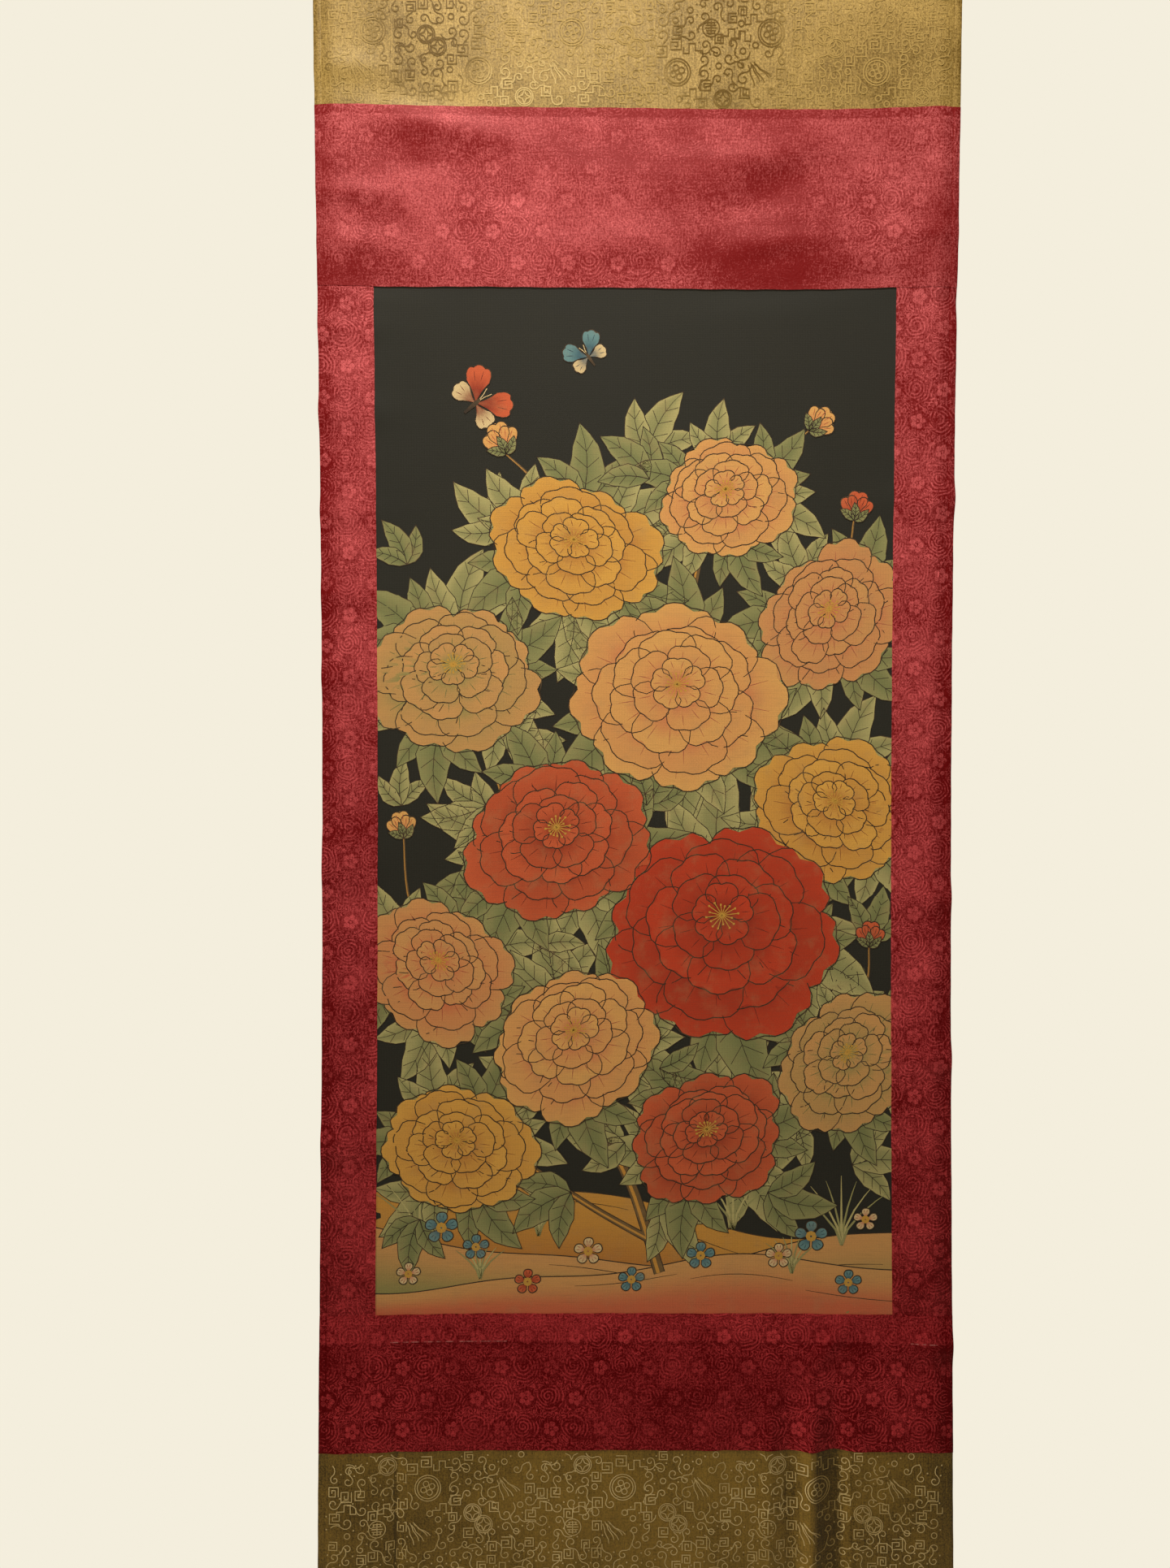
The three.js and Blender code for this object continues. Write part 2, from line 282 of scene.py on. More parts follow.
# Crimson brocade: small flowers in half-drop rows, curled waves between them, a vermicelli ground
crimson = {
    "deep": rgb("560003"), "bright": rgb("cc4042"), "sheenPaleDeep": rgb("74100f"), "sheenPaleBright": rgb("e07472"),
    "rubbed": rgb("b06a62"), "roughness": 0.5, "glossTint": (1.0, 0.26, 0.25, 1.0),
    "across": 45.5, "down": 56.0, "petalAt": 4.4, "petal": 2.5, "heart": 0.9, "thread": 1.3,
    "wave": 13.6, "wavePitch": 3.1, "waveOff": (-2.6, 2.2), "lapBand": 8.0, "edgeBand": 24.0,
    # where its folds fall into shade: x, z, reach across, reach down, amount
    "dimAt": ((126.0, -444.0, 84.0, 40.0, 0.12), (-196.0, -340.0, 80.0, 30.0, 0.09),
              (-238.0, -458.0, 60.0, 20.0, 0.14), (104.0, -378.0, 60.0, 20.0, 0.12),
              (118.0, -408.0, 100.0, 80.0, 0.08), (0.0, -330.0, 150.0, 40.0, 0.1),
              (20.0, -454.0, 120.0, 20.0, 0.1), (-26.0, -362.0, 60.0, 16.0, 0.1)),
    # where its figure stays plain to see: x, z, reach across, reach down
    "plainAt": ((-60.0, -464.0, 150.0, 34.0), (222.0, -404.0, 44.0, 56.0), (-132.0, -412.0, 60.0, 34.0)),
    # the crease below the painting: its drop, and where it is rubbed, as middle and half length
    "creaseDrop": 25.0, "rubbedAt": ((-175.0, 56.0), (266.0, 14.0)),
    # a nick in the right strip, and its half width and half height
    "nick": (277.0, -728.5), "nickHalf": (0.55, 2.2),
}
# Each cut: a flower from which its rows are counted, how plainly its figure shows and at the least,
# its gloss, tone (the foot's lower tone is painted shade) and wear, how far it is paled towards the
# top at the seams of the gold as painted sheen, and the painted shade at its sides
cuts = {
    "top": {"flower": (-154.0, -448.0), "figure": 0.48, "least": 0.16, "gloss": 0.75,
            "tone": 0.0, "wear": 0.7, "fadeAndSheen": (0.9, 0.0), "side": 0.1},
    "left": {"flower": (-264.5, -1045.4), "figure": 0.62, "least": 0.66, "gloss": 0.5,
             "tone": 0.01, "wear": 0.8, "fadeAndSheen": (0.85, -0.1), "side": 0.2},
    "right": {"flower": (256.8, -701.6), "figure": 0.62, "least": 0.7, "gloss": 0.5,
              "tone": 0.01, "wear": 0.8, "fadeAndSheen": (0.85, -0.1), "side": 0.2},
    "foot": {"flower": (-169.2, -1455.2), "figure": 0.68, "least": 0.5, "gloss": 0.2,
             "tone": -0.09, "wear": 0.6, "fadeAndSheen": (0.9, -0.1), "side": 0.2},
}


def nearestSite(net, shiftX, shiftZ):
    # the place within the nearest cell of two interleaved rows of sites
    halfWide, halfTall = crimson["across"] / 2, crimson["down"] / 2
    sites = []
    for stagger in (0, 1):
        x = net.maths("WRAP", net.across + (shiftX + stagger * halfWide), halfWide, -halfWide)
        z = net.maths("WRAP", net.down + (shiftZ + stagger * halfTall), halfTall, -halfTall)
        sites.append((x, z))
    (x, z), (nextX, nextZ) = sites
    useNext = nextX * nextX + nextZ * nextZ < x * x + z * z
    return x + (nextX - x) * useNext, z + (nextZ - z) * useNext


def crimsonFigure(net, place, flowerX, flowerZ):
    x, z = nearestSite(net, -flowerX, -flowerZ)
    far = net.far(x, z)
    folded = net.maths("WRAP", net.maths("ARCTAN2", z, x), math.pi / 5, -math.pi / 5)
    petalX, petalZ = far * net.maths("COSINE", folded) - crimson["petalAt"], far * net.maths("SINE", folded)
    petals = net.ramped(net.far(petalX, petalZ), crimson["petal"] + 0.5, crimson["petal"] - 0.4)
    heart = net.ramped(far, crimson["heart"] + 0.3, crimson["heart"] - 0.3)
    threads = net.ramped(net.wave(net.across * 0.5 + net.down, crimson["thread"]), -0.9, 0.6)
    flower = net.larger(petals, heart) * (0.4 + threads * 0.6)
    x, z = nearestSite(net, crimson["across"] / 2 - flowerX, -flowerZ)
    inWave = net.ramped(net.far(x, z), crimson["wave"] + 0.3, crimson["wave"] - 0.5)
    x, z = x - crimson["waveOff"][0], z - crimson["waveOff"][1]
    turns = net.far(x, z) / crimson["wavePitch"] + net.maths("ARCTAN2", z, x) * (0.5 / math.pi)
    turns = turns + net.noise(place, 0.07, 1.0) * 1.6
    broken = net.ramped(net.noise(place, 0.13, 1.0), 0.34, 0.46)
    waves = net.ramped(net.wave(turns, 1.0), -0.1, 0.7) * broken * 0.78
    vermicelli = net.ramped(net.maths("SINE", net.noise(place, 0.115, 1.0) * 44.0), 0.0, 0.8) * 0.85
    figure = vermicelli + (waves - vermicelli) * inWave
    return net.larger(figure * net.ramped(far, 9.4, 10.2) * 0.8, flower * 0.9)


def crimsonSilk(cut):
    net = Net("crimson silk " + cut)
    across, down, place = net.cutPlace()
    look = cuts[cut]
    figure = crimsonFigure(net, place, *look["flower"])
    shown = net.ramped(net.noise(place, 0.011), 0.46, 0.62) * (0.9 - look["least"]) + look["least"]
    if cut == "top":
        shown = shown * 0.7
        for patch in crimson["plainAt"]:
            shown = net.larger(softPatch(net, patch) * 0.9, shown)
    worn = net.noise(place, 0.018, 5.0, 0.65)
    grain = net.noise(place, 0.55, 2.0, 0.9)
    warp, weft = net.streaks(0.7, 0.12, 2.0, 0.7), net.streaks(0.04, 0.7, 2.0, 0.7)
    shade = figure * shown * look["figure"] + grain * 1.2 + warp * 0.6 + weft * 0.3
    # the foot's lower tone is painted shade
    shade = shade + (worn - 0.5) * look["wear"] + (look["tone"] - 0.86)
    # painted shade: darker towards the side edges and along the fold where the turned hem ends
    sideEdge = net.ramped(abs(across), rightEdge - crimson["edgeBand"], rightEdge)
    foldLine = net.ramped(abs(abs(across) - (rightEdge - cloth["hem"])), 0.9, 0.2)
    shade = shade - sideEdge * look["side"] - foldLine * 0.12
    if cut == "top":
        for patch in crimson["dimAt"]:
            shade = shade - softPatch(net, patch[:4]) * patch[4]
        # painted shade along the band where the crimson laps over the gold
        lapLine = goldTopSeam - crimson["lapBand"]
        shade = shade - net.ramped(down, lapLine - 0.6, lapLine) * 0.12
    if cut == "right":
        nickX, nickZ = crimson["nick"]
        halfWide, halfTall = crimson["nickHalf"]
        shade = shade + (abs(across - nickX) < halfWide) * (abs(down - nickZ) < halfTall) * 3.0
    crease = pictureBottomSeam - crimson["creaseDrop"]
    if cut == "foot":
        shade = shade + net.ramped(down, crease - 1.0, crease + 1.0) * 0.16
    # painted sheen: the silk is mixed paler and pinker towards the top seam
    inputs = dict(enumerate((down, goldBottomSeam, goldTopSeam, look["fadeAndSheen"][1], look["fadeAndSheen"][0])))
    fade = net.node("MapRange", {}, inputs)
    shade = net.larger(shade, 0.0)
    rich = net.mixed(shade, crimson["deep"], crimson["bright"])
    colour = net.mixed(fade, rich, net.mixed(shade, crimson["sheenPaleDeep"], crimson["sheenPaleBright"]))
    if cut == "foot":
        frayed = net.larger(*(abs(across - middle) < half for middle, half in crimson["rubbedAt"]))
        frayed = frayed * net.ramped(net.streaks(0.16, 0.0, 3.0), 0.42, 0.6)
        frayed = frayed * net.ramped(abs(down - crease), 0.7, 0.2)
        colour = net.mixed(frayed * 0.8, colour, crimson["rubbed"])
    height = figure * 0.9 + weave(net, 0.9) * 0.35 + grain * 0.6
    roughness = crimson["roughness"] - figure * 0.06 + worn * 0.1
    return net.finish(colour, roughness, height, fixed=silkGloss(look["gloss"], crimson["glossTint"]))


# Gold brocade: a plain satin ground here, with its line figures laid on as their own piece
gold = {
    "deep": rgb("5a410b"), "bright": rgb("b59450"), "footShadedDeep": rgb("382704"), "footShadedBright": rgb("8e6d28"),
    "figure": rgb("dcc084"), "darkFigure": rgb("4e3508"),
    "roughness": 0.46, "glossTint": (1.0, 0.82, 0.52, 1.0),
    # painted light and shade across the lower pleats: rises from, full from, full to, falls to, amount
    "pleatShadingRows": ((164.0, 167.0, 184.0, 192.0, -0.42), (149.0, 154.0, 159.0, 164.0, 0.24),
                   (133.0, 138.0, 144.0, 149.0, -0.2), (-223.0, -221.5, -220.0, -217.0, -0.3),
                   (196.0, 198.0, 200.0, 204.0, -0.16)),
    "pleatBelow": -1500.0, "pleatFade": 20.0,
    # where the damask lines are painted dark or light as sheen: x, z, reach across, reach down
    "sheenDarkAt": ((-190.0, -246.0, 52.0, 66.0), (77.0, -254.0, 60.0, 68.0), (-290.0, -270.0, 14.0, 30.0)),
    "sheenLightAt": ((-90.0, -294.0, 62.0, 28.0),),
}


# painted light and shade across the lower pleats
def pleatPaintedShading(net):
    tone = 0.0
    for start, full, easing, end, amount in gold["pleatShadingRows"]:
        tone = net.ramped(net.across, start, full) * net.ramped(net.across, end, easing) * amount + tone
    return tone * net.ramped(net.down, gold["pleatBelow"], gold["pleatBelow"] - gold["pleatFade"])


def goldSilk(name, deep, bright, middleLightPainted):
    net = Net(name)
    across, down, place = net.cutPlace()
    mottle = net.noise(place, 0.016, 5.0, 0.65)
    warp, weft = net.streaks(0.7, 0.05, 2.0, 0.7), net.streaks(0.04, 0.7, 2.0, 0.7)
    grain = net.noise(place, 0.55, 2.0, 0.9)
    shade = grain * 1.6 + warp * 0.7 + weft * 0.3 + mottle - 1.4
    # painted light: the panel is lighter across its middle
    shade = shade + net.ramped(abs(across - 20.0), 290.0, 20.0) * middleLightPainted
    # painted shade along the outer edges
    shade = shade - net.ramped(abs(across), rightEdge - 5.0, rightEdge - 1.0) * 0.1
    colour = net.mixed(net.larger(shade + pleatPaintedShading(net), 0.0), deep, bright)
    height = weave(net, 1.0) * 0.4 + grain * 0.7
    fixed = silkGloss(0.6, gold["glossTint"])
    return net.finish(colour, gold["roughness"] + mottle * 0.1, height, fixed=fixed)


def goldFigureSilk(name):
    net = Net(name)
    across, down, place = net.cutPlace()
    fadeAndSheen = net.noise(place, 0.02, 3.0, 0.6)
    grain = net.noise(place, 0.8, 2.0, 0.8)
    # painted sheen: the figure lines are lighter in the lower panel and the light patches, darker in the dark
    # patches
    dark, light = 0.0, net.ramped(down, -1000.0, -1300.0) * (0.5 + net.ramped(fadeAndSheen, 0.35, 0.65) * 0.5)
    # the pleats' painted light and shade also lift or dim the figure lines
    light = light * net.larger(pleatPaintedShading(net) * 2.0 + 1.0, 0.1)
    for patch in gold["sheenDarkAt"]:
        dark = net.larger(softPatch(net, patch), dark)
    for patch in gold["sheenLightAt"]:
        light = net.larger(softPatch(net, patch) * 0.45, light)
    plain = net.mixed(grain * 0.7 + 0.2, gold["deep"], gold["bright"])
    colour = net.mixed(light * (0.3 + grain * 0.75) + 0.1, plain, gold["figure"])
    colour = net.mixed(dark * 0.85, colour, gold["darkFigure"])
    thread = net.wave(across + down, 0.8)
    return net.finish(colour, 0.42 + fadeAndSheen * 0.1, thread, 0.2, 0.0002, silkGloss(0.2, gold["glossTint"]))


def paperBack(name):
    net = Net(name)
    across, down, place = net.cutPlace()
    fibres = net.streaks(0.3, 0.05, 4.0, 0.7)
    blotch = net.noise(place, 0.012, 3.0, 0.6)
    colour = net.mixed(net.ramped(blotch, 0.3, 0.8) * 0.4, rgb("d8cbae"), rgb("c4b492"))
    colour = net.mixed(net.ramped(fibres, 0.5, 0.8) * 0.3, colour, rgb("e6dcc4"))
    return net.finish(colour, 0.86 + blotch * 0.06, fibres, distance=0.0002)


# Painted silk: the dark ground here, and the colours laid on it read each stroke's own paint
painted = {
    "ground": rgb("302d24"), "groundLight": rgb("3c372a"), "groundDark": rgb("24221a"),
    "rubbed": rgb("9a7a50"), "grain": rgb("40382a"), "streak": rgb("4a3f2e"), "fixed": {"IOR": 1.42},
}


def silkGrain(net, place):
    return (net.wave(net.across, 1.5) + net.wave(net.down, 1.3)) * 0.16 + net.noise(place, 0.8, 2.0, 0.7)


def paintedGround(name):
    net = Net(name)
    across, down, place = net.cutPlace()
    cloudy = net.noise(place, 0.011, 5.0, 0.6)
    streak = net.streaks(0.03, 0.8)
    grain = silkGrain(net, place)
    colour = net.mixed(net.ramped(cloudy, 0.4, 0.75) * 0.6, painted["ground"], painted["groundLight"])
    colour = net.mixed(net.ramped(streak, 0.45, 0.8) * 0.3, colour, painted["groundDark"])
    colour = net.mixed(net.ramped(grain, 0.3, 0.8) * 0.35, painted["groundDark"], colour)
    return net.finish(colour, 0.78 + cloudy * 0.08, grain, 0.3, fixed=painted["fixed"])


def paintedColours(name):
    net = Net(name)
    across, down, place = net.cutPlace()
    paint = net.node("Attribute", {"attribute_name": "paint"}, {})
    grain = silkGrain(net, place)
    rubbed = net.noise(place, 0.05, 4.0, 0.65)
    streak = net.streaks(0.04, 0.9)
    colour = net.mixed(net.ramped(rubbed, 0.45, 0.8) * 0.22, paint, painted["rubbed"])
    colour = net.mixed(net.ramped(grain, 0.25, 0.6) * -0.16 + 0.16, colour, painted["grain"])
    colour = net.mixed(net.ramped(streak, 0.5, 0.85) * 0.16, colour, painted["streak"])
    return net.finish(colour, 0.74 + rubbed * 0.1, grain, 0.3, fixed=painted["fixed"])


print("materials")
crimsonTop, crimsonLeft, crimsonRight, crimsonFoot = (crimsonSilk(cut) for cut in cuts)
goldTop = goldSilk("gold silk top", gold["deep"], gold["bright"], 0.0)
# the foot's gold uses darker copies of the top's colours, as painted shade
goldFoot = goldSilk("gold silk foot", gold["footShadedDeep"], gold["footShadedBright"], 0.3)
goldFigure = goldFigureSilk("gold silk figure")
paper = paperBack("mounting paper")
silkGround = paintedGround("painted silk ground")
silkColours = paintedColours("painted silk colours")


def toObject(mesh, name, materials):
    # finishes a bmesh as a named object at the origin
    data = bpy.data.meshes.new(name)
    mesh.to_mesh(data)
    mesh.free()
    made = bpy.data.objects.new(name, data)
    bpy.context.scene.collection.objects.link(made)
    for material in materials:
        data.materials.append(material)
    return made


def allParts(mesh):
    return mesh.verts[:] + mesh.edges[:] + mesh.faces[:]


def addBack(mesh):
    # gives every face a back, and returns the back's points
    extruded = bmesh.ops.extrude_face_region(mesh, geom=mesh.faces[:])["geom"]
    return {part for part in extruded if isinstance(part, bmesh.types.BMVert)}


def edgeFray(x, z, edges):
    # cut edges wander a little
    left, right, top, bottom = edges
    wander = 0.06 * math.sin(z * 0.21 + 1.3) + 0.1 * math.sin(z * 0.057)
    dip = 0.18 * math.sin(x * 0.17) + 0.16 * math.sin(x * 0.049 + 2.0)
    if x in (left, right):
        x += wander
    if z in (top, bottom) and z not in (0.0, bottomEdge):
        z += dip
    return x, z


def makePanel(name, edges, depth, silk, spacing, hemmed):
    left, right, top, bottom = edges
    width, height = right - left, top - bottom
    mesh = bmesh.new()
    columns, rows = round(width / spacing), round(height / spacing)
    bmesh.ops.create_grid(mesh, x_segments=columns, y_segments=rows, size=0.5)
    bmesh.ops.scale(mesh, vec=(width, height, 1), verts=mesh.verts)
    bmesh.ops.translate(mesh, vec=(left + width / 2, bottom + height / 2, 0), verts=mesh.verts)
    if hemmed:  # lines where the turned side edge ends
        for side in (leftEdge, rightEdge):
            for inset in (0.6, cloth["hem"] - 0.4, cloth["hem"] + 0.4):
                at = side - math.copysign(inset, side)
                bmesh.ops.bisect_plane(mesh, geom=allParts(mesh), plane_co=(at, 0, 0), plane_no=(1, 0, 0))
    cut = mesh.loops.layers.uv.new("cut")
    bake = mesh.loops.layers.uv.new("OFBake")
    share = cloth["backShare"]
    for face in mesh.faces:
        for loop in face.loops:
            x, z, flat = loop.vert.co
            loop[cut].uv = (x * mm, z * mm)
            loop[bake].uv = ((x - left) / width, share + 0.01 + (0.99 - share) * (z - bottom) / height)
    behind = addBack(mesh)
    for vert in mesh.verts:
        x, z = edgeFray(round(vert.co.x, 3), round(vert.co.y, 3), edges)
        raised = cloth["hemStep"] if hemmed and abs(x) > rightEdge - cloth["hem"] else 0.0
        softened = 0.2 if hemmed and abs(x) > rightEdge - 0.5 else 0.0
        vert.co = hung(x, z, depth + cloth["thick"] if vert in behind else depth - raised + softened)
    bmesh.ops.recalc_face_normals(mesh, faces=mesh.faces)
    for face in mesh.faces:
        face.smooth = True
        if all(vert in behind for vert in face.verts):
            face.material_index = 1
            for loop in face.loops:
                u, v = loop[bake].uv
                loop[bake].uv = (u, (v - share) / (1 - share) * share * 0.98)
    for edge in mesh.edges:
        if len(edge.link_faces) == 2 and edge.calc_face_angle(0) > 0.9:
            edge.smooth = False
    piece = toObject(mesh, name, [silk, paper])
    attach(piece, "root")
    return piece


print("cloth panels")
frontDepth, stripDepth, underDepth = 0.0, 0.4, 0.85
goldLap, pictureLap = scroll["goldLap"], scroll["pictureLap"]
stripTop, stripFoot = pictureTopSeam + pictureLap, pictureBottomSeam - pictureLap
# Each panel: piece, node, slot, its left, right, top and bottom, its depth and its silk
panels = [
    ("top_gold_silk", "top_gold_panel", "gold_brocade",
     (leftEdge, rightEdge, 0.0, goldTopSeam - goldLap), underDepth, goldTop),
    ("top_crimson_silk", "top_crimson_panel", "crimson_brocade",
     (leftEdge, rightEdge, goldTopSeam, pictureTopSeam), frontDepth, crimsonTop),
    ("left_strip_silk", "left_crimson_strip", "crimson_brocade",
     (leftEdge, leftSeam, stripTop, stripFoot), stripDepth, crimsonLeft),
    ("right_strip_silk", "right_crimson_strip", "crimson_brocade",
     (rightSeam, rightEdge, stripTop, stripFoot), stripDepth, crimsonRight),
    ("painting_silk", "painting_panel", "painted_silk",
     (leftSeam - pictureLap, rightSeam + pictureLap, stripTop, stripFoot), underDepth, silkGround),
    ("bottom_crimson_silk", "bottom_crimson_panel", "crimson_brocade",
     (leftEdge, rightEdge, pictureBottomSeam, goldBottomSeam), frontDepth, crimsonFoot),
    ("bottom_gold_silk", "bottom_gold_panel", "gold_brocade",
     (leftEdge, rightEdge, goldBottomSeam + goldLap, bottomEdge), underDepth, goldFoot),
]
for name, node, slot, edges, depth, silk in panels:
    isPainting = node == "painting_panel"
    spacing = cloth["paintingSpacing" if isPainting else "spacing"]
    piece = makePanel(name, edges, depth, silk, spacing, not isPainting)
    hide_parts(node)

# Flat drawing on the hanging cloth: each stroke or wash is a small patch in a shared mesh
drawing = {"step": 0.022, "thick": 0.016, "lowest": -14, "mostFaces": 1500}


class Sheet:
    # a mesh that gathers patches, with a paint colour on every point
    def __init__(self, baseDepth):
        self.parts, self.baseDepth = [], baseDepth
        self.begin()

    def begin(self):
        self.mesh = bmesh.new()
        self.paint = self.mesh.verts.layers.float_color.new("paint")
        self.count = 0

    def setAside(self):
        # keeps the working mesh small, since each new patch walks all of it
        part = bpy.data.meshes.new("part")
        self.mesh.to_mesh(part)
        self.mesh.free()
        self.parts.append(part)
        self.begin()

    def gather(self):
        self.setAside()
        for part in self.parts:
            self.mesh.from_mesh(part)
            bpy.data.meshes.remove(part)

    def patch(self, across, along, shape, colour, level):
        self.count += across * along
        if self.count > drawing["mostFaces"]:
            self.setAside()
        made = bmesh.ops.create_grid(self.mesh, x_segments=across, y_segments=along, size=1)["verts"]
        for vert in made:
            s, t = vert.co.x, (vert.co.y + 1) / 2
            x, z = shape(s, t)
            vert[self.paint] = (*colour(s, t), 1.0)
            vert.co = (x, z, level)

    def dot(self, centre, half, colour, level):
        def shape(s, t):
            return centre[0] + s * half, centre[1] + (2 * t - 1) * half
        self.patch(1, 1, shape, lambda s, t: colour, level)

    def ribbon(self, points, width, colour, level, taper=0.0):
        # a line of the given width along the points, with mitred corners
        count = len(points)
        closed = math.dist(points[0], points[-1]) < 0.01
        sides = []
        for place, here in enumerate(points):
            before = points[place - 1] if place else (points[-2] if closed else None)
            after = points[place + 1] if place < count - 1 else (points[1] if closed else None)
            pairs = ((before, here), (here, after))
            lines = [(a, b) for a, b in pairs if a and b and math.dist(a, b) > 0.001]
            normals = [((a[1] - b[1]) / math.dist(a, b), (b[0] - a[0]) / math.dist(a, b)) for a, b in lines]
            nx, nz = (sum(parts) / len(normals) for parts in zip(*normals))
            size = max(math.hypot(nx, nz), 0.45)
            along = place / (count - 1)
            thin = 1 - taper * abs(2 * along - 1) ** 2 if taper >= 0 else 1 + taper * along
            half = width / 2 * thin / size / size
            sides.append((nx * half, nz * half))

        def shape(s, t):
            place = min(round(t * (count - 1)), count - 1)
            return points[place][0] + s * sides[place][0], points[place][1] + s * sides[place][1]
        self.patch(1, count - 1, shape, lambda s, t: colour, level)

    def trim(self, left, right, bottom, top):
        # cuts off what runs past the cloth
        for x, z, wayX, wayZ in ((left, 0, -1, 0), (right, 0, 1, 0), (0, bottom, 0, -1), (0, top, 0, 1)):
            bmesh.ops.bisect_plane(self.mesh, geom=allParts(self.mesh), plane_co=(x, z, 0),
                                   plane_no=(wayX, wayZ, 0), clear_outer=True)

    def close(self, name, material, slot):
        # gives every patch a back and hangs it on the cloth
        mesh = self.mesh
        cut = mesh.loops.layers.uv.new("cut")
        for face in mesh.faces:
            for loop in face.loops:
                loop[cut].uv = (loop.vert.co.x * mm, loop.vert.co.y * mm)
        bmesh.ops.recalc_face_normals(mesh, faces=mesh.faces)
        bmesh.ops.reverse_faces(mesh, faces=[face for face in mesh.faces if face.normal.z < 0])
        behind = addBack(mesh)
        for vert in mesh.verts:
            x, z, level = vert.co
            back = drawing["thick"] if vert in behind else 0.0
            vert.co = hung(x, z, self.baseDepth - drawing["step"] * (level - drawing["lowest"]) + back)
        bmesh.ops.recalc_face_normals(mesh, faces=mesh.faces)
        piece = toObject(mesh, name, [material])
        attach(piece, "root")
        return piece


# Line figures of the gold brocade, on one charted repeat
chart = {
    "wide": 179.0, "tall": 118.0, "seed": 7, "columns": 15, "rows": 10, "repeats": 6,
    "line": 1.1, "footLine": 0.8, "dot": 0.65, "sideMargin": 7, "lineMargin": 0.8, "dotMargin": 1.5,
    # the large figures: x, z, kind
    "large": ((24, 84, "coins"), (112, 30, "coins"), (66, 58, "round"), (150, 92, "round"),
              (96, 96, "barred"), (20, 22, "barred"), (58, 18, "tassel"), (140, 58, "tassel")),
    # where each large figure keeps the small ones out
    "keep": {"coins": 15.5, "round": 15.5, "barred": 10.5, "tassel": 15.5},
}


def reachFrom(centre, far, turn):
    # the point at a distance and a heading from another
    return centre[0] + far * math.cos(turn), centre[1] + far * math.sin(turn)


def circlePoints(centre, radius, count=18):
    return [reachFrom(centre, radius, 2 * math.pi * place / count) for place in range(count + 1)]


def curlPoints(centre, radius, start, turns, hand, count=13):
    # a spiral that opens from its heart
    shares = [place / count for place in range(count + 1)]
    return [reachFrom(centre, radius * (0.26 + 0.74 * share), start + hand * turns * 2 * math.pi * share)
            for share in shares]


def keyPoints(x, z, size, quarter, hand):
    # a square fret that winds in
    points = []
    for stepX, stepZ in ((-0.5, -0.5), (0.5, -0.5), (0.5, 0.5), (-0.5, 0.5),
                         (-0.5, -0.18), (0.18, -0.18), (0.18, 0.18), (-0.16, 0.18)):
        stepX *= hand
        for turn in range(quarter):
            stepX, stepZ = -stepZ, stepX
        points.append((x + stepX * size, z + stepZ * size))
    return points


def drawCoin(figures, x, z, radius):
    figures.append(circlePoints((x, z), radius, 18))
    figures.append(circlePoints((x, z), radius * 0.8, 16))
    for quarter in range(4):
        first, last = (reachFrom((0, 0), radius * 0.72, (quarter + step) * math.pi / 2) for step in (0, 1))
        middle = (0.3 * (first[0] + last[0]), 0.3 * (first[1] + last[1]))
        figures.append([(x + a, z + b) for a, b in (first, middle, last)])


def drawRound(figures, x, z):
    figures.append(circlePoints((x, z), 11.8, 24))
    figures.append(circlePoints((x, z), 9.6, 22))
    for quarter in range(4):
        figures.append(circlePoints(reachFrom((x, z), 4.2, quarter * math.pi / 2 + 0.4), 2.6, 10))


def drawBarred(figures, x, z, radius):
    # a round with bars across it
    figures.append(circlePoints((x, z), radius, 20))
    for row in range(-2, 3):
        reach = radius * (0.72 - 0.1 * abs(row))
        figures.append([(x - reach, z + row * radius * 0.3), (x + reach, z + row * radius * 0.3)])
    figures.append([(x, z - radius * 0.75), (x, z + radius * 0.75)])
    for side in (-0.4, 0.4):
        for low, high in ((-0.6, -0.3), (0.3, 0.6)):
            figures.append([(x + side * radius, z + low * radius), (x + side * radius, z + high * radius)])


def drawTassel(figures, x, z, lean):
    for strand in range(-2, 3):
        turn = lean + strand * 0.17
        start = (x + 4 * math.cos(turn + 1.57) * strand * 0.4, z + (strand % 2) * 2.0)
        points = []
        for place in range(6):
            pointX, pointZ = reachFrom(start, 3.6 * place + 2.0, turn)
            points.append((pointX + 0.5 * math.sin(place * 1.9), pointZ + 0.5 * math.cos(place * 1.9)))
        figures.append(points)


